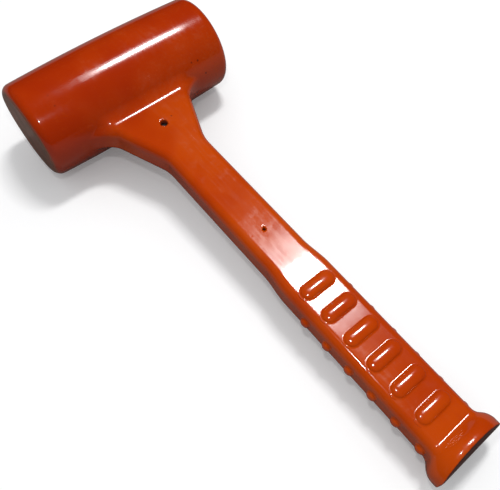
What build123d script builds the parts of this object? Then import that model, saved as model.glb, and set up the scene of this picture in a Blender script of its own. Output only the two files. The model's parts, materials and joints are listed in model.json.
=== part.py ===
from build123d import *
from math import asin, atan, cos, degrees, hypot, pi, sin
import os

# Dead blow mallet: a steel canister of loose shot, welded to a steel rod, both inside one moulded
# urethane skin. It is drawn about the middle of the head, with the head along X, the handle
# towards -Y and the grip bars on the front, +Z. Each finished piece is then laid down as the
# mallet rests on a bench, on the back of its head and the edge of its butt flange.

# Head skin: a barrel, a little fuller at the middle than at its two striking faces
head_length = 119.0
head_radius = 28.5
face_radius = 27.2
head_edge_radius = 5.0

# Handle skin: a flat slab with rounded edges, wider at the neck and at the grip
handle_thickness = 17.4
handle_edge_radius = 4.8
neck_half_width = 38.5
neck_end = 65.0
shaft_half_width = 12.8
swell_start = 149.0
swell_end = 163.0
grip_half_width = 14.4
neck_bend_radius = 26.0
swell_bend_radius = 30.0
neck_fillet = 7.0

# Butt flange, which keeps the hand on the grip: an oval rim, a ramp up to it from the grip, and an
# end with a flat strip from side to side that slopes away to the front and the back
butt_length = 272.0
flange_half_width = 20.4
flange_half_depth = 15.4
rim_thickness = 3.8
ramp_length = 6.0
ramp_rise = 8.0
shoulder_radius = 2.4
ramp_foot_radius = 1.6
end_slope_drop = 2.8
end_slope_width = 10.0

# Grip bumps: bars across the front and the back, domes down both sides
bump_count = 6
bump_start = 171.5
bump_pitch = 15.2
bar_length = 19.0
bar_width = 7.2
bar_height = 1.9
bar_crown_radius = 1.7
dome_radius = 3.0
dome_height = 2.2
dome_crown_radius = 2.0
dome_lead = 8.6

# Canister: a tube closed by two welded caps
canister_radius = 22.0
canister_wall = 2.5
canister_length = 88.0
cap_thickness = 3.5
cap_weld_depth = 1.4

# Handle rod, welded to the canister, with cross holes that the urethane fills to key it
rod_radius = 5.5
rod_end = 252.0
rod_weld_leg = 4.5
key_hole_radius = 2.0
first_key_hole = 105.0
last_key_hole = 236.0

# Shot: balls in layers across the canister, a layer to a node, with room left to slide
ball_radius = 2.5
ball_gap = 0.1
shot_wall_gap = 0.35
shot_layers = 12
layer_turn = 13.0

# Locator pits, where pins held the rod in the middle of the mould
neck_pit_radius = 1.9
neck_pit_place = 45.4
shaft_pit_radius = 0.8
shaft_pit_place = 131.5

# Worked out from the sizes above
half_thickness = handle_thickness / 2
head_end = head_length / 2
canister_end = canister_length / 2
canister_bore = canister_radius - canister_wall
bar_places = [bump_start + bump_pitch * i for i in range(bump_count)]
dome_places = [place + dome_lead for place in bar_places]

# Lying down, the mallet turns about the head axis until the rim's back edge meets the bench.
# The origin is on the bench, under the middle of the whole mallet.
rim_end = butt_length - end_slope_drop
rest_angle = asin(head_radius / hypot(rim_end, flange_half_depth)) - atan(flange_half_depth / rim_end)
end_half_depth = flange_half_depth - end_slope_width
butt_reach = butt_length * cos(rest_angle) + end_half_depth * sin(rest_angle)
laid_down = Location((0, (butt_reach - head_radius) / 2, head_radius), (degrees(rest_angle), 0, 0))

os.makedirs("parts", exist_ok=True)

# Canister tube, its bore chamfered at each end for the cap welds
with BuildPart() as canister_tube:
    with BuildSketch(Plane.YZ):
        Circle(canister_radius)
        Circle(canister_bore, mode=Mode.SUBTRACT)
    extrude(amount=canister_end, both=True)
    rims = canister_tube.edges().filter_by(GeomType.CIRCLE)
    chamfer(rims.sort_by(SortBy.RADIUS)[:2], cap_weld_depth)
canister_tube.part.move(laid_down)
canister_tube.part.label = "canister_tube"
export_step(canister_tube.part, "parts/canister_tube.step")

# End caps, one at each end of the bore
for side, hand, outer in ((-1, "left", 0), (1, "right", -1)):
    cap_face = Plane(origin=(side * canister_end, 0, 0), x_dir=(0, 1, 0), z_dir=(side, 0, 0))
    with BuildPart() as end_cap:
        with BuildSketch(cap_face):
            Circle(canister_bore)
        extrude(amount=-cap_thickness)
        chamfer(end_cap.edges().filter_by(GeomType.CIRCLE).sort_by(Axis.X)[outer], cap_weld_depth)
    end_cap.part.move(laid_down)
    end_cap.part.label = f"end_cap_{hand}"
    export_step(end_cap.part, f"parts/end_cap_{hand}.step")

# Weld beads, each filling the groove between a cap and the tube
for side, hand in ((-1, "left"), (1, "right")):
    with BuildPart() as cap_weld:
        with BuildSketch(Plane.XY):
            with BuildLine():
                Polyline(
                    (side * canister_end, canister_bore - cap_weld_depth),
                    (side * canister_end, canister_bore + cap_weld_depth),
                    (side * (canister_end - cap_weld_depth), canister_bore),
                    close=True,
                )
            make_face()
        revolve(axis=Axis.X)
    cap_weld.part.move(laid_down)
    cap_weld.part.label = f"cap_weld_{hand}"
    export_step(cap_weld.part, f"parts/cap_weld_{hand}.step")

# The canister's whole outer shape, which the rod is coped to and the skin closes round
with BuildPart() as canister_space:
    with BuildSketch(Plane.YZ):
        Circle(canister_radius)
    extrude(amount=canister_end, both=True)

# Handle rod, coped to the canister and drilled for keying
with BuildPart() as handle_rod:
    with BuildSketch(Plane.XZ):
        Circle(rod_radius)
    extrude(amount=rod_end)
    with BuildSketch(Plane.XY):
        with Locations((0, -first_key_hole), (0, -last_key_hole)):
            Circle(key_hole_radius)
    extrude(amount=rod_radius, both=True, mode=Mode.SUBTRACT)
    add(canister_space.part, mode=Mode.SUBTRACT)

# Fillet weld round the rod's foot
with BuildPart() as rod_weld:
    with BuildSketch(Plane.XY):
        with BuildLine():
            Polyline(
                (0, 0),
                (rod_radius + rod_weld_leg, 0),
                (rod_radius + rod_weld_leg, -canister_radius),
                (rod_radius, -canister_radius - rod_weld_leg),
                (0, -canister_radius - rod_weld_leg),
                close=True,
            )
        make_face()
    revolve(axis=Axis.Y)
    add(canister_space.part, mode=Mode.SUBTRACT)
    with BuildSketch(Plane.XZ):
        Circle(rod_radius)
    extrude(amount=rod_end, mode=Mode.SUBTRACT)

# Shot layers: one ball in the middle, then rings as full as they will go
ball_pitch = 2 * ball_radius + ball_gap
ring_reach = canister_bore - shot_wall_gap - ball_radius
ring_count = int(ring_reach / ball_pitch)
ring_step = ring_reach / ring_count
for layer in range(shot_layers):
    layer_x = (layer - (shot_layers - 1) / 2) * ball_pitch
    with BuildPart(Plane.YZ.offset(layer_x)) as shot_layer:
        Sphere(ball_radius)
        for ring in range(1, ring_count + 1):
            ring_balls = int(pi / asin(ball_pitch / (2 * ring * ring_step)))
            with PolarLocations(ring * ring_step, ring_balls, start_angle=layer * layer_turn):
                Sphere(ball_radius)
    shot_layer.part.move(laid_down)
    shot_layer.part.label = f"shot_layer_{layer + 1:02d}"
    export_step(shot_layer.part, f"parts/shot_layer_{layer + 1:02d}.step")

# Handle slab: neck, shaft and grip in one outline, rounded along its front and back edges. Half of
# the outline is drawn, its bends are rounded, and it is mirrored before it is given its thickness.
slab_end = rim_end - rim_thickness / 2
with BuildPart() as handle_slab:
    with BuildSketch(Plane.XY.offset(-half_thickness)) as outline:
        with BuildLine():
            Polyline(
                (0, 0),
                (neck_half_width, 0),
                (shaft_half_width, -neck_end),
                (shaft_half_width, -swell_start),
                (grip_half_width, -swell_end),
                (grip_half_width, -slab_end),
                (0, -slab_end),
                close=True,
            )
        make_face()
        fillet(outline.vertices().group_by(Axis.Y)[3], neck_bend_radius)
        swell_corners = outline.vertices().group_by(Axis.Y)[1:3]
        fillet(swell_corners[0] + swell_corners[1], swell_bend_radius)
        mirror(about=Plane.YZ)
    extrude(amount=handle_thickness)
    flat_edges = handle_slab.edges().filter_by(Axis.Z, reverse=True)
    fillet(flat_edges.filter_by(Axis.X, reverse=True), handle_edge_radius)

# Butt flange, its ramp on the side of the grip; the slopes are cut twice their width, past the rim
with BuildPart() as butt_flange:
    with BuildSketch(Plane.XZ.offset(rim_end - rim_thickness - ramp_length)):
        Ellipse(flange_half_width - ramp_rise, flange_half_depth - ramp_rise)
    with BuildSketch(Plane.XZ.offset(rim_end - rim_thickness)) as rim_outline:
        Ellipse(flange_half_width, flange_half_depth)
    loft(ruled=True)
    extrude(rim_outline.sketch, amount=rim_thickness + end_slope_drop)
    rims = butt_flange.edges().filter_by(lambda edge: edge.is_closed).sort_by(Axis.Y)
    fillet(rims[1], shoulder_radius)
    with BuildSketch(Plane.YZ):
        with BuildLine():
            flat_edge = (-butt_length, end_half_depth)
            slope_foot = (2 * end_slope_drop - butt_length, end_half_depth + 2 * end_slope_width)
            Polyline(flat_edge, slope_foot, (-butt_length, end_half_depth + 2 * end_slope_width), flat_edge)
        make_face()
        mirror(about=Plane.XZ)
    extrude(amount=flange_half_width, both=True, mode=Mode.SUBTRACT)

# Head barrel, its two striking faces rounded at the rim
with BuildPart() as head_barrel:
    with BuildSketch(Plane.XY):
        with BuildLine():
            crown = ThreePointArc((-head_end, face_radius), (0, head_radius), (head_end, face_radius))
            Polyline(crown @ 1, (head_end, 0), (-head_end, 0), crown @ 0)
        make_face()
    revolve(axis=Axis.X)
    face_rims = head_barrel.edges().filter_by(GeomType.CIRCLE).group_by(Axis.X)
    fillet(face_rims[0] + face_rims[-1], head_edge_radius)

# Grip bars on the front and the back, each standing half its width deep in the slab
with BuildPart() as grip_bars:
    with BuildSketch(Plane.XY.offset(half_thickness - bar_width / 2)):
        with Locations(*[(0, -place) for place in bar_places]):
            SlotOverall(bar_length, bar_width)
    extrude(amount=bar_width / 2 + bar_height)
    fillet(grip_bars.edges().group_by(Axis.Z)[-1], bar_crown_radius)
    mirror(about=Plane.XY)

# Grip domes on both sides, each standing its own radius deep in the slab
with BuildPart() as grip_domes:
    with BuildSketch(Plane.YZ.offset(grip_half_width - dome_radius)):
        with Locations(*[(-place, 0) for place in dome_places]):
            Circle(dome_radius)
    extrude(amount=dome_radius + dome_height)
    fillet(grip_domes.edges().group_by(Axis.X)[-1], dome_crown_radius)
    mirror(about=Plane.YZ)

# Urethane skin: one moulding over everything, with pits down to the rod on its front
with BuildPart() as urethane_skin:
    add(handle_slab.part)
    add(butt_flange.part)
    fillet(urethane_skin.edges(Select.NEW), ramp_foot_radius)
    add(head_barrel.part)
    fillet(urethane_skin.edges(Select.NEW), neck_fillet)
    add(grip_bars.part)
    add(grip_domes.part)
    add(canister_space.part, mode=Mode.SUBTRACT)
    add(rod_weld.part, mode=Mode.SUBTRACT)
    add(handle_rod.part, mode=Mode.SUBTRACT)
    with BuildSketch(Plane.XY.offset(rod_radius / 2)):
        with Locations((0, -neck_pit_place)):
            Circle(neck_pit_radius)
        with Locations((0, -shaft_pit_place)):
            Circle(shaft_pit_radius)
    extrude(amount=handle_thickness, mode=Mode.SUBTRACT)

urethane_skin.part.move(laid_down)
urethane_skin.part.label = "urethane_skin"
export_step(urethane_skin.part, "parts/urethane_skin.step")

handle_rod.part.move(laid_down)
handle_rod.part.label = "handle_rod"
export_step(handle_rod.part, "parts/handle_rod.step")

rod_weld.part.move(laid_down)
rod_weld.part.label = "rod_weld"
export_step(rod_weld.part, "parts/rod_weld.step")
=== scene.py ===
import json
from math import atan2, cos, hypot, pi, radians, sin, tan

import bpy
import numpy as np
from mathutils import Matrix, Vector


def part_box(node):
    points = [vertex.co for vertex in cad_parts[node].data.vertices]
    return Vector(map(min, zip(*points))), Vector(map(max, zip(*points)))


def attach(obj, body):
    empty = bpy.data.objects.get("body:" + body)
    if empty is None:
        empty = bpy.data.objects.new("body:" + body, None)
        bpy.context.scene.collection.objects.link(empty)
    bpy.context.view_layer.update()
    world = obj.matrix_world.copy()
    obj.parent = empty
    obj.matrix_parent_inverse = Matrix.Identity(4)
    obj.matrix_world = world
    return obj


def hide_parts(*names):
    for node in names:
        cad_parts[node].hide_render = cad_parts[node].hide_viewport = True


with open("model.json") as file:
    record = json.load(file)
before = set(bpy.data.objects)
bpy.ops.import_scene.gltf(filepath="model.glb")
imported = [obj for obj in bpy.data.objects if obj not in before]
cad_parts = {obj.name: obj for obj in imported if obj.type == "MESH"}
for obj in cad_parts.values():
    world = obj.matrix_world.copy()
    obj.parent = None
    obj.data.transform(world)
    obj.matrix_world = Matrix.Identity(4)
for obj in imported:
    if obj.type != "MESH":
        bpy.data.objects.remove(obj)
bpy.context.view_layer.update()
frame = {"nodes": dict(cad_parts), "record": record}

# Dead blow mallet: one glossy urethane moulding over a steel canister of shot and a steel rod.
# The moulding is drawn as the mould was cut, about the middle of the head, with the head along X,
# the handle towards -Y and the front +Z, and then laid down on the bench. Everything is in metres.

# Places that the frame gives
canister_low, canister_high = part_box("canister_tube")
skin_low, skin_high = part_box("urethane_skin")
head_middle = (canister_low + canister_high) / 2
butt_face = next(mount for mount in frame["record"]["mounts"] if mount["name"] == "butt_face")
butt_way = Vector(butt_face["axis"])
rest_tilt = atan2(-butt_way.z, -butt_way.y)
laid_down = Matrix.Translation(head_middle) @ Matrix.Rotation(rest_tilt, 4, "X")

# Head
head_end = skin_high.x
head_radius = head_middle.z
face_radius = 0.0272
head_edge_radius = 0.005
canister_end = canister_high.x
canister_radius = (canister_high.z - canister_low.z) / 2

# Handle
half_thickness = 0.0087
handle_edge_radius = 0.0048
neck_half_width = 0.0385
neck_end = 0.065
neck_bend_radius = 0.026
shaft_half_width = 0.0128
grip_half_width = 0.0144
swell_start = 0.147
swell_end = 0.165
front_fillet = 0.0052
side_fillet = 0.0095
fillet_change_start = 0.004
fillet_change_end = 0.0095

# Butt flange
butt_length = (Vector(butt_face["pos_m"]) - head_middle).length
flange_half_width = 0.0204
flange_half_depth = 0.0154
rim_thickness = 0.0038
rim_edge_radius = 0.0004
shoulder_radius = 0.0024
flare_length = 0.0048
flare_foot_radius = 0.0012
end_slope_drop = 0.0028
end_slope_width = 0.010
rim_end = butt_length - end_slope_drop

# Rod, its weld, and the locator pits that reach it
rod_radius = 0.00555
rod_end = 0.252
rod_weld_leg = 0.0045
neck_pit_radius = 0.0019
neck_pit_place = 0.0454
shaft_pit_radius = 0.0008
shaft_pit_place = 0.1315
pit_lip = 0.0004
# Height of the middle of the painted shade round each pit
pit_shade_height = 0.006

# Grip bumps: bars across the front and the back, domes down both sides
bump_count = 6
bump_start = 0.1715
bump_pitch = 0.0152
bar_length = 0.019
bar_width = 0.0072
bar_crown = 0.0015
bar_root = 0.0012
bar_end_fall = 0.38
dome_width = 0.0056
dome_crown = 0.0018
dome_root = 0.0008
dome_lead = 0.0086

# Each bump ends in a foot that spreads just under the surface and stands down into it
foot_spread = 0.0004
foot_cover = 0.00006
foot_depth = 0.0008

# Shot: balls in rings across the canister, a layer at a time
ball_radius = 0.0025
ball_pitch = 0.0051
shot_reach = 0.01665
shot_rings = 3
shot_layers = 12
layer_turn = radians(13)

# The moulding's mesh has a point in each cell of a grid of this pitch that its surface crosses
net_pitch = 0.00105


# ---------------------------------------------------------------- node trees


def pick(sockets, key):
    """The socket with that number, identifier or name."""
    if isinstance(key, int):
        return sockets[key]
    for socket in sockets:
        if socket.identifier == key:
            return socket
    return sockets[key]


class Wire:
    """An output in a node tree. Arithmetic on wires adds Math nodes to the same tree."""

    def __init__(self, board, socket):
        self.board = board
        self.socket = socket

    def math(self, operation, *terms):
        return self.board.node("ShaderNodeMath", {"operation": operation}, dict(enumerate(terms)))

    def __add__(self, other):
        return self.math("ADD", self, other)

    def __radd__(self, other):
        return self.math("ADD", other, self)

    def __sub__(self, other):
        return self.math("SUBTRACT", self, other)

    def __rsub__(self, other):
        return self.math("SUBTRACT", other, self)

    def __mul__(self, other):
        return self.math("MULTIPLY", self, other)

    def __rmul__(self, other):
        return self.math("MULTIPLY", other, self)

    def __truediv__(self, other):
        return self.math("DIVIDE", self, other)

    def __pow__(self, other):
        return self.math("POWER", self, other)

    def sine(self):
        return self.math("SINE", self)

    def cosine(self):
        return self.math("COSINE", self)

    def size(self):
        return self.math("ABSOLUTE", self)

    def most(self, other):
        return self.math("MAXIMUM", self, other)

    def least(self, other):
        return self.math("MINIMUM", self, other)

    def share(self):
        """Held between 0 and 1."""
        return self.most(0.0).least(1.0)

    def rise(self, low, high):
        """0 below low, 1 above high, smooth between."""
        span = {"Value": self, "From Min": low, "From Max": high}
        return self.board.node("ShaderNodeMapRange", {"interpolation_type": "SMOOTHSTEP"}, span)

    def part(self, name):
        """Another output of the same node."""
        return Wire(self.board, pick(self.socket.node.outputs, name))


class Board:
    """A node tree being wired up."""

    def __init__(self, tree):
        self.tree = tree

    def node(self, kind, settings=None, inputs=None, output=0):
        """Adds a node: its settings first, then the values or wires of its inputs."""
        made = self.tree.nodes.new(kind)
        for name, value in (settings or {}).items():
            setattr(made, name, value)
        for key, value in (inputs or {}).items():
            socket = pick(made.inputs, key)
            if isinstance(value, Wire):
                self.tree.links.new(value.socket, socket)
            else:
                socket.default_value = value
        return Wire(self, pick(made.outputs, output)) if made.outputs else None

    def blend(self, share, first, second):
        """A colour between two colours."""
        inputs = {"Factor_Float": share, "A_Color": first, "B_Color": second}
        return self.node("ShaderNodeMix", {"data_type": "RGBA"}, inputs, "Result_Color")

    def noise(self, place, scale, detail=3.0, roughness=0.55):
        inputs = {"Vector": place, "Scale": scale, "Detail": detail, "Roughness": roughness}
        return self.node("ShaderNodeTexNoise", {"noise_dimensions": "3D"}, inputs)

    def spots(self, place, scale):
        """Distance to the nearest of scattered points, about 0 to 1."""
        return self.node("ShaderNodeTexVoronoi", {"feature": "F1"}, {"Vector": place, "Scale": scale})

    def apart(self, place, other):
        """Distance between two places."""
        return self.node("ShaderNodeVectorMath", {"operation": "DISTANCE"}, {0: place, 1: other}, "Value")

    def stretched(self, place, scale):
        return self.node("ShaderNodeMapping", {}, {"Vector": place, "Scale": scale})

    def raised(self, height, depth, under=None):
        """A bump of that depth in metres, over another bump."""
        inputs = {"Height": height, "Strength": 1.0, "Distance": depth}
        if under:
            inputs["Normal"] = under
        return self.node("ShaderNodeBump", {}, inputs)


def new_finish(name):
    """An empty material and the board that it is wired on."""
    finish = bpy.data.materials.new(name)
    finish.use_nodes = True
    finish.node_tree.nodes.clear()
    return finish, Board(finish.node_tree)


def shade(board, inputs):
    """The surface shader and the material's output."""
    surface = board.node("ShaderNodeBsdfPrincipled", {}, inputs)
    board.node("ShaderNodeOutputMaterial", {}, {"Surface": surface})


# ---------------------------------------------------------------- finishes


def urethane_finish():
    """Orange urethane as it leaves the mould, a little smudged, with scuffed striking faces."""
    finish, board = new_finish("urethane")
    place = board.node("ShaderNodeTexCoord", {}, {}, "Object")
    # The pattern is turned with the mallet, so that X, Y and Z here are the mould's own
    turned = {"Vector": place, "Location": head_middle, "Rotation": (rest_tilt, 0, 0)}
    mould = board.node("ShaderNodeMapping", {"vector_type": "TEXTURE"}, turned)
    across = board.node("ShaderNodeSeparateXYZ", {}, {"Vector": mould})
    along = across.part("Y")

    clouds = board.noise(mould, 26.0, 2.0)
    grain = board.noise(mould, 420.0, 3.0, 0.6)
    flow = board.noise(board.stretched(mould, (90.0, 9.0, 90.0)), 1.0, 4.0, 0.6)
    smudge = board.noise(mould, 55.0, 5.0, 0.62).rise(0.5, 0.72)

    # A dull film where hands and water have dried: mottled, and drawn out along the handle
    mottle = board.noise(mould, 210.0, 4.0, 0.65).rise(0.5, 0.68)
    streaks = board.noise(board.stretched(mould, (760.0, 52.0, 760.0)), 1.0, 3.0, 0.6).rise(0.42, 0.8)
    film = ((mottle * 0.8 + streaks) * board.noise(mould, 24.0, 2.0).rise(0.36, 0.62)).share()

    # Scuffs cover the two striking faces. The end of the butt is painted shade: it is coloured almost black
    # and dulled, standing in for the shade on the end that faces away from the light
    near_face = across.part("X").size().rise(head_end - 0.0014, head_end - 0.0003)
    slope_off = (flange_half_depth - across.part("Z").size()) * (end_slope_drop / end_slope_width)
    slope_off = slope_off.least(end_slope_drop)
    painted_butt_shade = (0.0 - along - slope_off).rise(rim_end - 0.0004, rim_end - 0.0001)
    dents = board.spots(mould, 260.0)
    worn = board.noise(mould, 130.0, 6.0, 0.7)
    scuff = near_face * (worn.rise(0.34, 0.66) * 0.4 + 0.6)

    # Painted shade in the pits: round each pit the colour is darkened and the gloss dulled, standing in for
    # the shade that falls into the hole
    neck_pit_shade = 1.0 - board.apart(mould, (0, -neck_pit_place, pit_shade_height)).rise(0.0021, 0.0036)
    shaft_pit_shade = 1.0 - board.apart(mould, (0, -shaft_pit_place, pit_shade_height)).rise(0.0014, 0.0029)
    painted_pit_shade = neck_pit_shade.most(shaft_pit_shade)

    # A few dark specks under the surface and pale dust on it
    speck_mask = board.noise(mould, 37.0, 1.0).rise(0.62, 0.66)
    specks = (1.0 - board.spots(mould, 190.0).rise(0.08, 0.16)) * speck_mask
    dust_mask = board.noise(mould, 21.0, 1.0).rise(0.52, 0.6)
    dust = (1.0 - board.spots(mould, 520.0).rise(0.05, 0.12)) * dust_mask

    # The head is coloured a deeper orange than the handle, changing over the neck
    deep = board.blend(clouds.rise(0.35, 0.65), (0.40, 0.0245, 0.0003, 1), (0.465, 0.037, 0.0004, 1))
    pale = board.blend(clouds.rise(0.35, 0.65), (0.47, 0.040, 0.0003, 1), (0.555, 0.062, 0.0004, 1))
    body = board.blend((0.0 - along).rise(0.022, 0.045), deep, pale)
    body = board.blend(flow.rise(0.55, 0.8) * 0.35, body, (0.40, 0.024, 0.0014, 1))
    body = board.blend(grain.rise(0.55, 0.75) * 0.12, body, (0.56, 0.078, 0.001, 1))
    body = board.blend(film * 0.08, body, (0.50, 0.12, 0.012, 1))
    body = board.blend(dust * 0.16, body, (0.70, 0.32, 0.12, 1))
    body = board.blend(specks * 0.75, body, (0.10, 0.012, 0.004, 1))
    # Painted shade: the pits and the surface just round them are darkened
    body = board.blend(painted_pit_shade * 0.65, body, (0.10, 0.012, 0.004, 1))
    body = board.blend(scuff * 0.86, body, (0.135, 0.098, 0.062, 1))
    # Painted shade: the end of the butt, which faces away from the light, is made almost black
    body = board.blend(painted_butt_shade * 0.86, body, (0.032, 0.003, 0.002, 1))

    gloss = 0.12 + smudge * 0.06 + film * 0.11 + flow.rise(0.5, 0.8) * 0.04 + scuff * 0.3
    gloss = gloss + painted_pit_shade.most(painted_butt_shade) * 0.4

    waves = board.raised(board.noise(mould, 42.0, 1.0), 0.00016)
    ripple = board.raised(flow, 0.000025, waves)
    peel = board.raised(grain, 0.000007, ripple)
    nicks = board.raised((1.0 - dents.rise(0.1, 0.5)) * scuff, 0.00006, peel)
    shade(board, {
        "Base Color": body,
        "Roughness": gloss,
        "Normal": nicks,
        "IOR": 1.5,
        "Coat Weight": (1.0 - scuff * 0.7) * (1.0 - painted_pit_shade.most(painted_butt_shade) * 0.9) * (0.64 - film * 0.3),
        "Coat Roughness": 0.06,
        "Coat IOR": 1.5,
    })
    return finish


def rolled_steel_finish():
    """Drawn tube: fine lines round the canister, mill scale, a blue and straw tint by the welds."""
    finish, board = new_finish("canister_steel")
    place = board.node("ShaderNodeTexCoord", {}, {}, "Object")
    across = board.node("ShaderNodeSeparateXYZ", {}, {"Vector": place})
    lines = board.noise(board.stretched(place, (2400.0, 60.0, 60.0)), 1.0, 4.0, 0.7)
    scale = board.noise(place, 70.0, 5.0, 0.6).rise(0.42, 0.68)
    heat = across.part("X").size().rise(canister_end - 0.011, canister_end - 0.001)
    heat = (heat + (worn_in(board, place) - 0.5) * 0.35).share()
    straw = heat.rise(0.25, 0.6) * (1.0 - heat.rise(0.6, 0.85))
    blue = heat.rise(0.6, 0.9)
    metal = board.blend(lines, (0.36, 0.36, 0.37, 1), (0.56, 0.56, 0.55, 1))
    metal = board.blend(scale * 0.6, metal, (0.13, 0.125, 0.13, 1))
    metal = board.blend(straw * 0.7, metal, (0.52, 0.36, 0.14, 1))
    metal = board.blend(blue * 0.7, metal, (0.10, 0.14, 0.30, 1))
    shade(board, {
        "Base Color": metal,
        "Metallic": 1.0 - scale * 0.35,
        "Roughness": 0.26 + lines * 0.12 + scale * 0.22,
        "Normal": board.raised(lines, 0.000012),
    })
    return finish


def worn_in(board, place):
    """Small uneven patches."""
    return board.noise(place, 160.0, 4.0, 0.6)


def scaled_bar_finish():
    """Hot rolled bar: dark scale with bare metal showing where it has flaked."""
    finish, board = new_finish("rod_steel")
    place = board.node("ShaderNodeTexCoord", {}, {}, "Object")
    flaked = board.noise(board.stretched(place, (220.0, 40.0, 220.0)), 1.0, 5.0, 0.65).rise(0.56, 0.68)
    tooth = board.noise(place, 900.0, 3.0)
    shade(board, {
        "Base Color": board.blend(flaked, (0.045, 0.042, 0.045, 1), (0.24, 0.23, 0.22, 1)),
        "Metallic": 0.35 + flaked * 0.6,
        "Roughness": 0.62 - flaked * 0.22,
        "Normal": board.raised(flaked + tooth * 0.3, 0.00003),
    })
    return finish


def weld_finish():
    """Weld bead: stacked ripples with dark oxide between them."""
    finish, board = new_finish("weld")
    place = board.node("ShaderNodeTexCoord", {}, {}, "Object")
    centred = board.node("ShaderNodeMapping", {}, {"Vector": place, "Location": -head_middle})
    across = board.node("ShaderNodeSeparateXYZ", {}, {"Vector": centred})
    turn = across.math("ARCTAN2", across.part("Z"), across.part("Y"))
    ripples = ((turn * 62.0 + board.noise(place, 220.0, 2.0) * 3.0).sine() * 0.5 + 0.5) ** 0.6
    oxide = worn_in(board, place).rise(0.45, 0.7)
    metal = board.blend(ripples, (0.16, 0.15, 0.15, 1), (0.46, 0.45, 0.44, 1))
    metal = board.blend(oxide * 0.55, metal, (0.20, 0.13, 0.075, 1))
    shade(board, {
        "Base Color": metal,
        "Metallic": 1.0 - oxide * 0.4,
        "Roughness": 0.34 + oxide * 0.25,
        "Normal": board.raised(ripples, 0.00018),
    })
    return finish


def shot_finish():
    """Hard steel shot, polished where the balls rub and dull between."""
    finish, board = new_finish("shot_steel")
    place = board.node("ShaderNodeTexCoord", {}, {}, "Object")
    rub = board.noise(place, 340.0, 4.0, 0.6).rise(0.4, 0.65)
    pits = board.spots(place, 1400.0).rise(0.05, 0.3)
    metal = board.blend(rub, (0.24, 0.24, 0.25, 1), (0.58, 0.58, 0.57, 1))
    shade(board, {
        "Base Color": metal,
        "Metallic": 1.0,
        "Roughness": 0.46 - rub * 0.26,
        "Normal": board.raised(pits, 0.00001),
    })
    return finish


def bench_finish():
    """Plain pale board, with the faintest tooth."""
    finish, board = new_finish("pale_bench")
    place = board.node("ShaderNodeTexCoord", {}, {}, "Object")
    tooth = board.noise(place, 900.0, 2.0)
    cloud = board.noise(place, 3.0, 2.0)
    # It is pale to look at, but throws back less light than it shows, as a small board would
    seen = board.node("ShaderNodeLightPath", {}, {}, "Is Camera Ray")
    pale = board.blend(cloud, (0.9, 0.9, 0.9, 1), (0.94, 0.94, 0.935, 1))
    shade(board, {
        "Base Color": board.blend(seen, (0.19, 0.165, 0.15, 1), pale),
        "Emission Color": board.blend(seen, (0, 0, 0, 1), (0.12, 0.12, 0.12, 1)),
        "Emission Strength": 1.0,
        "Roughness": 0.75 + cloud * 0.1,
        "Normal": board.raised(tooth, 0.00001),
        "Specular IOR Level": 0.15,
    })
    return finish


# ---------------------------------------------------------------- the moulding


def hollow_join(a, b, radius):
    """Two shapes as one, with a hollow fillet where they meet."""
    bent = np.hypot(np.maximum(radius - a, 0), np.maximum(radius - b, 0))
    return np.maximum(radius, np.minimum(a, b)) - bent


def round_cut(a, b, radius):
    """What two shapes share, with a rounded edge where they meet."""
    bent = np.hypot(np.maximum(radius + a, 0), np.maximum(radius + b, 0))
    return np.minimum(-radius, np.maximum(a, b)) + bent


def smooth_step(value, low, high):
    """0 below low, 1 above high, smooth between."""
    share = np.clip((value - low) / (high - low), 0, 1)
    return share * share * (3 - 2 * share)


def barrel_shape(x, y, z):
    """Head barrel, a little fuller at the middle, with rounded rims."""
    fullness = 1 - (x / head_end) ** 2
    wall = face_radius + (head_radius - face_radius) * fullness
    return round_cut(np.hypot(y, z) - wall, np.abs(x) - head_end, head_edge_radius)


def handle_shape(x, y, z):
    """Flat handle with rounded edges: a tapered neck, the shaft and the wider grip."""
    width = np.abs(x)
    swell = smooth_step(-y, swell_start, swell_end)
    shaft = width - shaft_half_width - (grip_half_width - shaft_half_width) * swell
    taper = neck_half_width - shaft_half_width
    slope = hypot(neck_end, taper)
    neck = ((width - neck_half_width) * neck_end - y * taper) / slope
    # The bend between neck and shaft is shallow, so its fillet is a parabola of the same depth
    bend = neck_bend_radius * tan(atan2(taper, neck_end) / 2) * taper / slope
    outline = np.minimum(shaft, neck) - np.maximum(bend - np.abs(shaft - neck), 0) ** 2 / (4 * bend)
    slab = round_cut(outline, np.abs(z) - half_thickness, handle_edge_radius)
    return np.maximum(np.maximum(slab, y), -y - rim_end + rim_thickness / 2)


def flange_shape(x, y, z):
    """Butt flange: the grip flares to an oval rim, and the end slopes off from a flat strip across it."""
    nearness = np.hypot(x / flange_half_width, z / flange_half_depth)
    steepness = np.hypot(x / flange_half_width ** 2, z / flange_half_depth ** 2) + 1e-9
    oval = nearness * (nearness - 1) / steepness
    slab = round_cut(np.abs(x) - grip_half_width, np.abs(z) - half_thickness, handle_edge_radius)
    rise = (rim_end - rim_thickness + y) / flare_length
    flare = (oval + rise * (slab - oval)) / np.hypot(1, (slab - oval) / flare_length)
    flange = round_cut(oval, flare, shoulder_radius)
    slope = (np.abs(z) - flange_half_depth) * end_slope_drop - (y + rim_end) * end_slope_width
    end = np.maximum(slope / hypot(end_slope_width, end_slope_drop), -y - butt_length)
    return round_cut(flange, end, rim_edge_radius)


def core_shape(x, y, z):
    """The room inside for the canister, the rod and the weld between them."""
    canister = np.maximum(np.hypot(y, z) - canister_radius, np.abs(x) - canister_end)
    from_axis = np.hypot(x, z)
    rod = np.maximum(from_axis - rod_radius, np.maximum(y, -y - rod_end))
    bead = (from_axis - rod_radius - y - canister_radius - rod_weld_leg) / hypot(1, 1)
    bead = np.maximum(bead, from_axis - rod_radius - rod_weld_leg)
    return np.minimum(np.minimum(canister, rod), np.maximum(bead, y))


def pit_shape(x, y, z, place, radius):
    """A round locator pit in the front, down to the rod."""
    return np.maximum(np.hypot(x, y + place) - radius, rod_radius / 2 - z)


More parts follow.
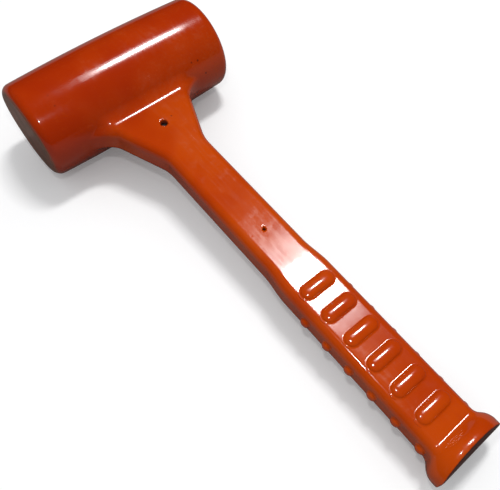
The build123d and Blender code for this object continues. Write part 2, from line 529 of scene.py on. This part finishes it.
def moulding_shape(points):
    """Distance from the moulding's surface, negative inside it."""
    x, y, z = points.T
    body = hollow_join(handle_shape(x, y, z), flange_shape(x, y, z), flare_foot_radius)
    to_front = smooth_step(np.abs(z), fillet_change_start, fillet_change_end)
    neck_fillet = side_fillet + (front_fillet - side_fillet) * to_front
    body = hollow_join(body, barrel_shape(x, y, z), neck_fillet)
    body = np.maximum(body, -core_shape(x, y, z))
    for place, radius in ((neck_pit_place, neck_pit_radius), (shaft_pit_place, shaft_pit_radius)):
        body = round_cut(body, -pit_shape(x, y, z, place, radius), pit_lip)
    return body


def slope_of(shape, points, reach=0.00002):
    """Which way the distance grows at each point."""
    slopes = np.empty_like(points)
    for axis in range(3):
        step = np.zeros(3)
        step[axis] = reach
        slopes[:, axis] = (shape(points + step) - shape(points - step)) / (2 * reach)
    return slopes


def net_over(shape, lines):
    """Points and quads of the surface where shape is zero, a point in each grid cell that it crosses."""
    grid = np.stack(np.meshgrid(*lines, indexing="ij"), -1)
    counts = grid.shape[:3]
    depth = shape(grid.reshape(-1, 3)).reshape(counts)
    inside = depth < 0
    total = np.zeros((np.prod(counts), 3))
    hits = np.zeros(np.prod(counts))
    rings = []
    for axis in range(3):
        second, third = (axis + 1) % 3, (axis + 2) % 3
        lower = [slice(None)] * 3
        upper = [slice(None)] * 3
        lower[axis] = slice(0, -1)
        upper[axis] = slice(1, None)
        start = np.argwhere(inside[tuple(lower)] != inside[tuple(upper)])
        stop = start.copy()
        stop[:, axis] += 1
        near, far = depth[tuple(start.T)], depth[tuple(stop.T)]
        share = (near / (near - far))[:, None]
        crossing = grid[tuple(start.T)] * (1 - share) + grid[tuple(stop.T)] * share
        ring = []
        for back_second, back_third in ((1, 1), (0, 1), (0, 0), (1, 0)):
            cell = start.copy()
            cell[:, second] -= back_second
            cell[:, third] -= back_third
            index = np.ravel_multi_index(cell.T, counts)
            np.add.at(total, index, crossing)
            np.add.at(hits, index, 1)
            ring.append(index)
        ring = np.stack(ring, 1)
        leaving = near < 0
        rings.append(np.where(leaving[:, None], ring, ring[:, ::-1]))
    used = np.flatnonzero(hits)
    number = np.zeros(len(hits), int)
    number[used] = np.arange(len(used))
    points = total[used] / hits[used][:, None]
    return points, number[np.concatenate(rings)]


def settle(shape, points, quads, pitch, rounds=3):
    """Evens the points out over the surface and puts each one exactly on it."""
    for turn in range(rounds):
        total = np.zeros_like(points)
        count = np.zeros(len(points))
        for corner in range(4):
            here, following = quads[:, corner], quads[:, (corner + 1) % 4]
            np.add.at(total, here, points[following])
            np.add.at(count, here, 1)
        evened = points + 0.5 * (total / count[:, None] - points)
        normals = slope_of(shape, points)
        normals /= np.linalg.norm(normals, axis=1)[:, None]
        shift = evened - points
        points = points + shift - normals * np.sum(shift * normals, axis=1)[:, None]
        for pull in range(2):
            slopes = slope_of(shape, points)
            steepness = np.maximum(np.sum(slopes ** 2, axis=1), 0.25)
            step = shape(points) / steepness
            points = points - np.clip(step, -pitch / 2, pitch / 2)[:, None] * slopes
    return points


def make_piece(name, points, faces, finish):
    """A mesh object at the origin, smooth, with its place in its mesh."""
    mesh = bpy.data.meshes.new(name)
    mesh.from_pydata(points.tolist(), [], faces.tolist())
    mesh.materials.append(finish)
    mesh.shade_smooth()
    piece = bpy.data.objects.new(name, mesh)
    bpy.context.scene.collection.objects.link(piece)
    return piece


def to_bench(points):
    """From the mould's place to where the mallet lies."""
    turn = np.array(laid_down.to_3x3())
    return points @ turn.T + np.array(laid_down.translation)


def make_moulding(finish):
    """The urethane moulding, one closed skin with the room for the steel inside it."""
    margin = 2.5 * net_pitch
    reach = Vector((head_end, head_radius, head_radius))
    low = (-reach.x - margin, -butt_length - margin, -reach.z - margin)
    high = (reach.x + margin, reach.y + margin, reach.z + margin)
    lines = [np.arange(start, stop, net_pitch) for start, stop in zip(low, high)]
    points, quads = net_over(moulding_shape, lines)
    points = settle(moulding_shape, points, quads, net_pitch)
    normals = slope_of(moulding_shape, points)
    normals /= np.linalg.norm(normals, axis=1)[:, None]
    piece = make_piece("moulding", to_bench(points), quads, finish)
    turned = normals @ np.array(laid_down.to_3x3()).T
    piece.data.normals_split_custom_set_from_vertices(turned.tolist())
    return piece


# ---------------------------------------------------------------- what repeats


def new_rule(name, inputs):
    """A geometry tree with named inputs, each a kind of socket and a value."""
    tree = bpy.data.node_groups.new(name, "GeometryNodeTree")
    for label, (kind, value) in inputs.items():
        socket = tree.interface.new_socket(label, in_out="INPUT", socket_type=kind)
        if kind != "NodeSocketMaterial":
            socket.default_value = value
    tree.interface.new_socket("Geometry", in_out="OUTPUT", socket_type="NodeSocketGeometry")
    return tree, Board(tree)


def run_rule(name, tree, inputs):
    """One piece from a geometry tree, as a plain mesh with nothing left on it."""
    mesh = bpy.data.meshes.new(name + "_seed")
    piece = bpy.data.objects.new(name, mesh)
    bpy.context.scene.collection.objects.link(piece)
    modifier = piece.modifiers.new(name, "NODES")
    modifier.node_group = tree
    for item in tree.interface.items_tree:
        if item.in_out == "INPUT":
            modifier[item.identifier] = inputs[item.name][1]
    graph = bpy.context.evaluated_depsgraph_get()
    plain = bpy.data.meshes.new_from_object(piece.evaluated_get(graph))
    piece.modifiers.clear()
    piece.data = plain
    plain.name = name
    bpy.data.meshes.remove(mesh)
    return piece


def bump_row_rule(inputs):
    """A row of bumps down the handle: each a domed crown, a hollow root and a foot let into the surface."""
    tree, board = new_rule("bump_row", inputs)
    given = board.node("NodeGroupInput")
    length, width = given.part("Length"), given.part("Width")
    rise, root = given.part("Crown rise"), given.part("Root radius")

    # A sheet of unit size, wrapped round the bump: X goes round the outline and Y up from the foot
    around, crown_rows, root_rows, foot_rows = 64, 12, 8, 3
    rows = crown_rows + root_rows + foot_rows
    sheet = board.node("GeometryNodeMeshGrid", {}, {
        "Size X": 1.0, "Size Y": 1.0, "Vertices X": around + 1, "Vertices Y": rows + 1})
    flat = board.node("ShaderNodeSeparateXYZ", {}, {"Vector": board.node("GeometryNodeInputPosition")})
    lap = (flat.part("X") + 0.5) * 4.0
    row = (0.5 - flat.part("Y")) * rows

    # Round the outline: along one side, round an end, back along the other side, round the other end
    heading = (90 + 180 * (lap - 1.0).share() + 180 * (lap - 3.0).share()) * (pi / 180)
    centre = (length - width) * 0.5 * (1.0 - 2.0 * lap.share() + 2.0 * (lap - 2.0).share())

    # Down the section: an oval crown, a hollow root that leaves it on the same slope, a run just
    # under the surface, the foot's wall and its underside
    last_turn = radians(80)
    crown = (row / crown_rows).share() * last_turn
    side_slope = rise.math("ARCTAN2", rise * sin(last_turn), width * 0.5 * cos(last_turn))
    hollow = side_slope * (1.0 - ((row - crown_rows) / root_rows).share())
    beyond = (row - (crown_rows + root_rows)).share()
    wall = (row - (crown_rows + root_rows + 1)).share()
    under = (row - (crown_rows + root_rows + 2)).share()
    out = width * 0.5 * crown.sine() + root * (side_slope.sine() - hollow.sine()) + foot_spread * beyond
    out = out * (1.0 - under)
    up = root * (1.0 - hollow.cosine()) + rise * (crown.cosine() - cos(last_turn))
    forward = centre + out * heading.cosine()
    from_middle = forward / (length * 0.5)
    up = up * (1.0 - given.part("End fall") * from_middle * from_middle)
    up = up - foot_cover * beyond - foot_depth * wall

    place = board.node("ShaderNodeCombineXYZ", {}, {"X": forward, "Y": out * heading.sine(), "Z": up})
    bump = board.node("GeometryNodeSetPosition", {}, {"Geometry": sheet, "Position": place})
    bump = board.node("GeometryNodeMergeByDistance", {}, {"Geometry": bump, "Distance": 0.000004})
    bump = board.node("GeometryNodeSetShadeSmooth", {}, {"Geometry": bump, "Shade Smooth": True})

    start = board.node("ShaderNodeCombineXYZ", {}, {
        "Y": 0.0 - given.part("Start"), "Z": given.part("Standing")})
    step = board.node("ShaderNodeCombineXYZ", {}, {"Y": 0.0 - given.part("Pitch")})
    line = board.node("GeometryNodeMeshLine", {"mode": "OFFSET"}, {
        "Count": given.part("Count"), "Start Location": start, "Offset": step})
    bumps = board.node("GeometryNodeInstanceOnPoints", {}, {"Points": line, "Instance": bump})
    bumps = board.node("GeometryNodeRealizeInstances", {}, {"Geometry": bumps})
    turn = board.node("ShaderNodeCombineXYZ", {}, {"Y": given.part("Turn")})
    bumps = board.node("GeometryNodeTransform", {}, {"Geometry": bumps, "Rotation": turn})
    bumps = lay_down(board, bumps, given)
    bumps = board.node("GeometryNodeSetMaterial", {}, {"Geometry": bumps, "Material": given.part("Finish")})
    board.node("NodeGroupOutput", {}, {"Geometry": bumps})
    return tree


def lay_down(board, geometry, given):
    """Turns what was made about the head's middle to where the mallet lies."""
    tilt = board.node("ShaderNodeCombineXYZ", {}, {"X": given.part("Rest tilt")})
    return board.node("GeometryNodeTransform", {}, {
        "Geometry": geometry, "Rotation": tilt, "Translation": given.part("Head middle")})


def bump_inputs(finish, start, sizes, standing, turn):
    """One row's inputs: where it starts, its bump's sizes, how far out it stands and which way it faces."""
    length, width, rise, root, fall = sizes
    return {
        "Count": ("NodeSocketInt", bump_count),
        "Start": ("NodeSocketFloat", start),
        "Pitch": ("NodeSocketFloat", bump_pitch),
        "Length": ("NodeSocketFloat", length),
        "Width": ("NodeSocketFloat", width),
        "Crown rise": ("NodeSocketFloat", rise),
        "Root radius": ("NodeSocketFloat", root),
        "End fall": ("NodeSocketFloat", fall),
        "Standing": ("NodeSocketFloat", standing),
        "Turn": ("NodeSocketFloat", turn),
        "Rest tilt": ("NodeSocketFloat", rest_tilt),
        "Head middle": ("NodeSocketVector", tuple(head_middle)),
        "Finish": ("NodeSocketMaterial", finish),
    }


def make_bumps(finish):
    """Four rows: bars on the front and the back, domes on the two sides."""
    bar = (bar_length, bar_width, bar_crown, bar_root, bar_end_fall)
    dome = (dome_width, dome_width, dome_crown, dome_root, 0.0)
    dome_start = bump_start + dome_lead
    rows = {
        "grip_bars_front": bump_inputs(finish, bump_start, bar, half_thickness, 0.0),
        "grip_bars_back": bump_inputs(finish, bump_start, bar, half_thickness, pi),
        "grip_domes_left": bump_inputs(finish, dome_start, dome, grip_half_width, -pi / 2),
        "grip_domes_right": bump_inputs(finish, dome_start, dome, grip_half_width, pi / 2),
    }
    tree = bump_row_rule(rows["grip_bars_front"])
    pieces = [run_rule(name, tree, inputs) for name, inputs in rows.items()]
    bpy.data.node_groups.remove(tree)
    return pieces


def shot_rule(inputs):
    """Balls set in rings round a middle ball, and layers of them along the canister, each turned on."""
    tree, board = new_rule("shot_layers", inputs)
    given = board.node("NodeGroupInput")
    ball = board.node("GeometryNodeMeshIcoSphere", {}, {
        "Radius": given.part("Ball radius"), "Subdivisions": 2})
    ball = board.node("GeometryNodeSetShadeSmooth", {}, {"Geometry": ball, "Shade Smooth": True})
    layer = board.node("GeometryNodeJoinGeometry")
    join = layer.socket.node.inputs[0]
    middle = board.node("GeometryNodeMeshLine", {"mode": "OFFSET"}, {"Count": 1})
    board.tree.links.new(middle.socket, join)
    for ring in range(1, shot_rings + 1):
        size = given.part("Reach") * (ring / shot_rings)
        circle = board.node("GeometryNodeMeshCircle", {}, {
            "Vertices": given.part(f"Ring {ring} balls"), "Radius": size})
        board.tree.links.new(circle.socket, join)
    # The rings are drawn flat and stood up across the canister
    layer = board.node("GeometryNodeTransform", {}, {"Geometry": layer, "Rotation": (pi / 2, 0.0, pi / 2)})
    layer = board.node("GeometryNodeInstanceOnPoints", {}, {"Points": layer, "Instance": ball})
    pitch = given.part("Layer pitch")
    count = given.part("Layers")
    start = board.node("ShaderNodeCombineXYZ", {}, {"X": pitch * (1.0 - count) * 0.5})
    step = board.node("ShaderNodeCombineXYZ", {}, {"X": pitch})
    line = board.node("GeometryNodeMeshLine", {"mode": "OFFSET"}, {
        "Count": count, "Start Location": start, "Offset": step})
    turn = board.node("GeometryNodeInputIndex") * given.part("Layer turn")
    turned = board.node("ShaderNodeCombineXYZ", {}, {"X": turn})
    turned = board.node("FunctionNodeEulerToRotation", {}, {0: turned})
    balls = board.node("GeometryNodeInstanceOnPoints", {}, {
        "Points": line, "Instance": layer, "Rotation": turned})
    balls = board.node("GeometryNodeRealizeInstances", {}, {"Geometry": balls})
    balls = lay_down(board, balls, given)
    balls = board.node("GeometryNodeSetMaterial", {}, {"Geometry": balls, "Material": given.part("Finish")})
    board.node("NodeGroupOutput", {}, {"Geometry": balls})
    return tree


def make_shot(finish):
    """The loose steel shot, as many balls to a ring as fit round it."""
    inputs = {
        "Ball radius": ("NodeSocketFloat", ball_radius),
        "Layer pitch": ("NodeSocketFloat", ball_pitch),
        "Reach": ("NodeSocketFloat", shot_reach),
        "Layers": ("NodeSocketInt", shot_layers),
        "Layer turn": ("NodeSocketFloat", layer_turn),
        "Rest tilt": ("NodeSocketFloat", rest_tilt),
        "Head middle": ("NodeSocketVector", tuple(head_middle)),
        "Finish": ("NodeSocketMaterial", finish),
    }
    for ring in range(1, shot_rings + 1):
        around = 2 * np.arcsin(ball_pitch / (2 * shot_reach * ring / shot_rings))
        inputs[f"Ring {ring} balls"] = ("NodeSocketInt", int(2 * pi / around))
    tree = shot_rule(inputs)
    piece = run_rule("steel_shot", tree, inputs)
    bpy.data.node_groups.remove(tree)
    return piece


# ---------------------------------------------------------------- stage, lights and camera


def make_bench(finish):
    """A wide pale bench top."""
    reach = 4.0  # from its middle to each side
    corners = np.array([(-reach, -reach, 0), (reach, -reach, 0), (reach, reach, 0), (-reach, reach, 0)])
    bench = make_piece("bench", corners, np.array([[0, 1, 2, 3]]), finish)


def skylight(name, centre, width, length, power):
    """A flat light facing straight down, its centre given from the head's middle before laying down."""
    light = bpy.data.lights.new(name, "AREA")
    light.shape = "RECTANGLE"
    light.size = width
    light.size_y = length
    light.energy = power
    lamp = bpy.data.objects.new(name, light)
    lamp.location = laid_down @ Vector(centre)
    bpy.context.scene.collection.objects.link(lamp)


def make_lights():
    """A window above and beyond the head, which draws the long highlights, in a softly lit room."""
    skylight("window", (0.40, 0.138, 1.11), 0.28, 0.13, 6.1)
    skylight("window_haze", (0.38, 0.15, 1.12), 0.40, 0.31, 1.3)
    skylight("lamp", (-0.069, -0.179, 0.308), 0.016, 0.02, 0.14)

    world = bpy.data.worlds.new("room")
    world.use_nodes = True
    world.node_tree.nodes.clear()
    board = Board(world.node_tree)
    rays = board.node("ShaderNodeLightPath", {}, {}, "Is Camera Ray")
    glossy = rays.part("Is Glossy Ray")
    room = board.node("ShaderNodeBackground", {}, {
        "Color": (0.97, 0.98, 1.0, 1), "Strength": 0.54 - glossy * 0.535 + rays * 0.38})
    board.node("ShaderNodeOutputWorld", {}, {"Surface": room})
    bpy.context.scene.world = world
    bpy.context.scene.view_settings.view_transform = "Standard"


def make_camera():
    """Above the mallet's left side, looking down across the handle."""
    place = Vector((-0.0984, -0.1317, 0.2837))
    aim = Vector((0.0050, -0.0234, 0.0285))
    roll = radians(3.15)
    camera = bpy.data.cameras.new("camera")
    camera.sensor_width = 36.0
    camera.lens = 42.6
    camera.shift_x = -0.078
    camera.shift_y = -0.004
    camera.clip_start = 0.01
    tripod = bpy.data.objects.new("camera", camera)
    facing = (aim - place).to_track_quat("-Z", "Y").to_matrix().to_4x4()
    tripod.matrix_world = Matrix.Translation(place) @ facing @ Matrix.Rotation(roll, 4, "Z")
    bpy.context.scene.collection.objects.link(tripod)
    bpy.context.scene.camera = tripod


# ---------------------------------------------------------------- assembly

make_camera()
make_lights()
make_bench(bench_finish())

urethane = urethane_finish()
moulding = make_moulding(urethane)
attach(moulding, "mallet")
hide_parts("urethane_skin")
for bumps in make_bumps(urethane):
    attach(bumps, "mallet")

shot = make_shot(shot_finish())
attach(shot, "shot_charge")
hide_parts(*[f"shot_layer_{layer + 1:02d}" for layer in range(shot_layers)])

rolled_steel = rolled_steel_finish()
weld = weld_finish()
frame["nodes"]["handle_rod"].material_slots[0].material = scaled_bar_finish()
for name in ("canister_tube", "end_cap_left", "end_cap_right"):
    frame["nodes"][name].material_slots[0].material = rolled_steel
for name in ("cap_weld_left", "cap_weld_right", "rod_weld"):
    frame["nodes"][name].material_slots[0].material = weld
